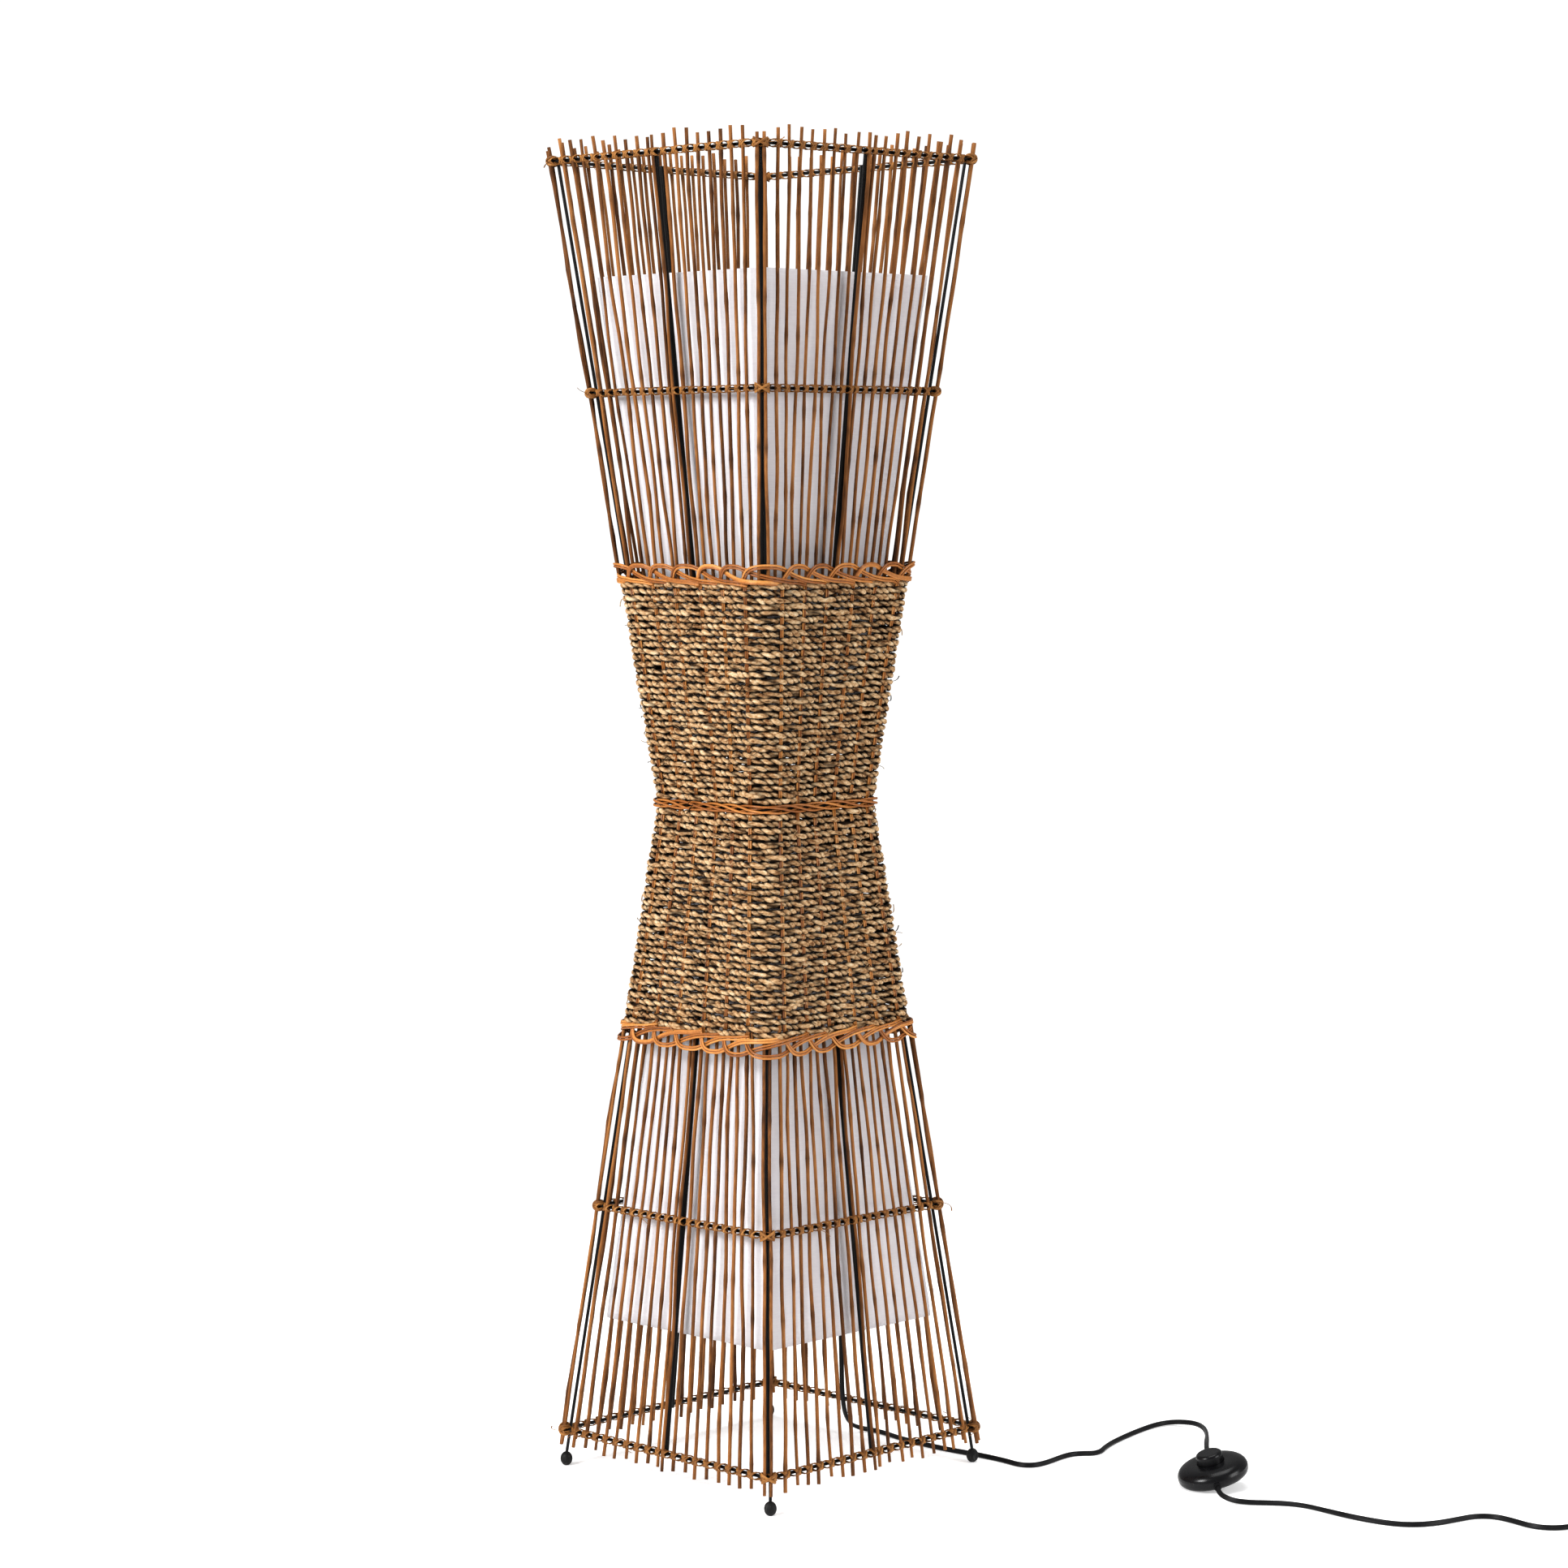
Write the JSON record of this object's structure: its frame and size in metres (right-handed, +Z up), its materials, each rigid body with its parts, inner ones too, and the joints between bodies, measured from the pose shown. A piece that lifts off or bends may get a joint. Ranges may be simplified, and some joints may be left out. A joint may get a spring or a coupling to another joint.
{
  "type": "floor lamp",
  "caption": "Hourglass floor lamp: square wire cage lashed with rattan sticks, woven seagrass sleeve at the waist, tapering fabric shades and a foot switch on its cord.",
  "frame": {"origin": "on the floor, at the centre of the four feet", "axes": "+Z up along the lamp; the four sides face -Y (front), +X, +Y and -X; the cord leaves under the +Y side"},
  "size_m": [0.9452, 0.5547, 1.2998],
  "materials": {
    "black_wire": "satin black lacquer",
    "foot_ball": "matte black",
    "rattan_stick": "natural, smoked brown, unpolished",
    "rattan_cane": "caramel, slight natural gloss",
    "seagrass": "dry twisted grass, matte",
    "rattan_strip": "split strip, semi-matte",
    "shade_fabric": "white plain weave on a stiff backing",
    "white_wire": "white lacquer",
    "zinc_steel": "bright zinc",
    "black_cup": "satin black",
    "holder_plastic": "moulded, matte",
    "opal_glass": "opal, satin",
    "bulb_metal": "rolled thread",
    "cord_rubber": "extruded, satin",
    "tie_wire": "coated, matte",
    "switch_plastic": "moulded, satin gloss",
    "plug_brass": "nickel plated"
  },
  "bodies": {
    "lamp": {"top_ring": "black_wire", "upper_mid_ring": "black_wire", "waist_ring": "black_wire", "lower_mid_ring": "black_wire", "bottom_ring": "black_wire", "upper_corner_posts": "black_wire", "upper_side_posts": "black_wire", "lower_corner_posts": "black_wire", "lower_side_posts": "black_wire", "foot_rods": "black_wire", "waist_crossbar": "black_wire", "foot_balls": "foot_ball", "upper_sticks_front": "rattan_stick", "upper_sticks_right": "rattan_stick", "upper_sticks_back": "rattan_stick", "upper_sticks_left": "rattan_stick", "lower_sticks_front": "rattan_stick", "lower_sticks_right": "rattan_stick", "lower_sticks_back": "rattan_stick", "lower_sticks_left": "rattan_stick", "weaving_stakes": "rattan_cane", "top_braid": "rattan_cane", "bottom_braid": "rattan_cane", "waist_band": "rattan_cane", "seagrass_sleeve_upper": "seagrass", "seagrass_sleeve_lower": "seagrass", "top_lashing": "rattan_strip", "upper_mid_lashing": "rattan_strip", "lower_mid_lashing": "rattan_strip", "bottom_lashing": "rattan_strip", "upper_shade": "shade_fabric", "lower_shade": "shade_fabric", "upper_shade_hoops": "white_wire", "lower_shade_hoops": "white_wire", "upper_shade_fitter": "white_wire", "lower_shade_fitter": "white_wire", "threaded_tubes": "zinc_steel", "lock_nuts": "zinc_steel", "button_spring": "zinc_steel", "switch_screws": "zinc_steel", "wiring_cup": "black_cup", "wiring_cup_lid": "black_cup", "upper_lampholder": "holder_plastic", "lower_lampholder": "holder_plastic", "holder_collars": "holder_plastic", "cord_gland": "holder_plastic", "switch_contact_block": "holder_plastic", "upper_bulb_globe": "opal_glass", "lower_bulb_globe": "opal_glass", "bulb_caps": "bulb_metal", "lamp_cord": "cord_rubber", "plug_cord": "cord_rubber", "plug_cord_coil": "cord_rubber", "switch_grommets": "cord_rubber", "coil_tie": "tie_wire", "switch_base": "switch_plastic", "switch_cover": "switch_plastic", "plug_body": "switch_plastic", "plug_pins": "plug_brass"},
    "foot_button": {"switch_button": "switch_plastic"}
  },
  "joints": [
    {"name": "button_press", "type": "slide", "parent": "lamp", "child": "foot_button", "axis": [0.0875, 0.2547, -0.9631], "range_m": [0, 0.0035], "stiffness_N_per_m": 400, "springref_m": -0.004, "deforming": ["button_spring"]}
  ]
}
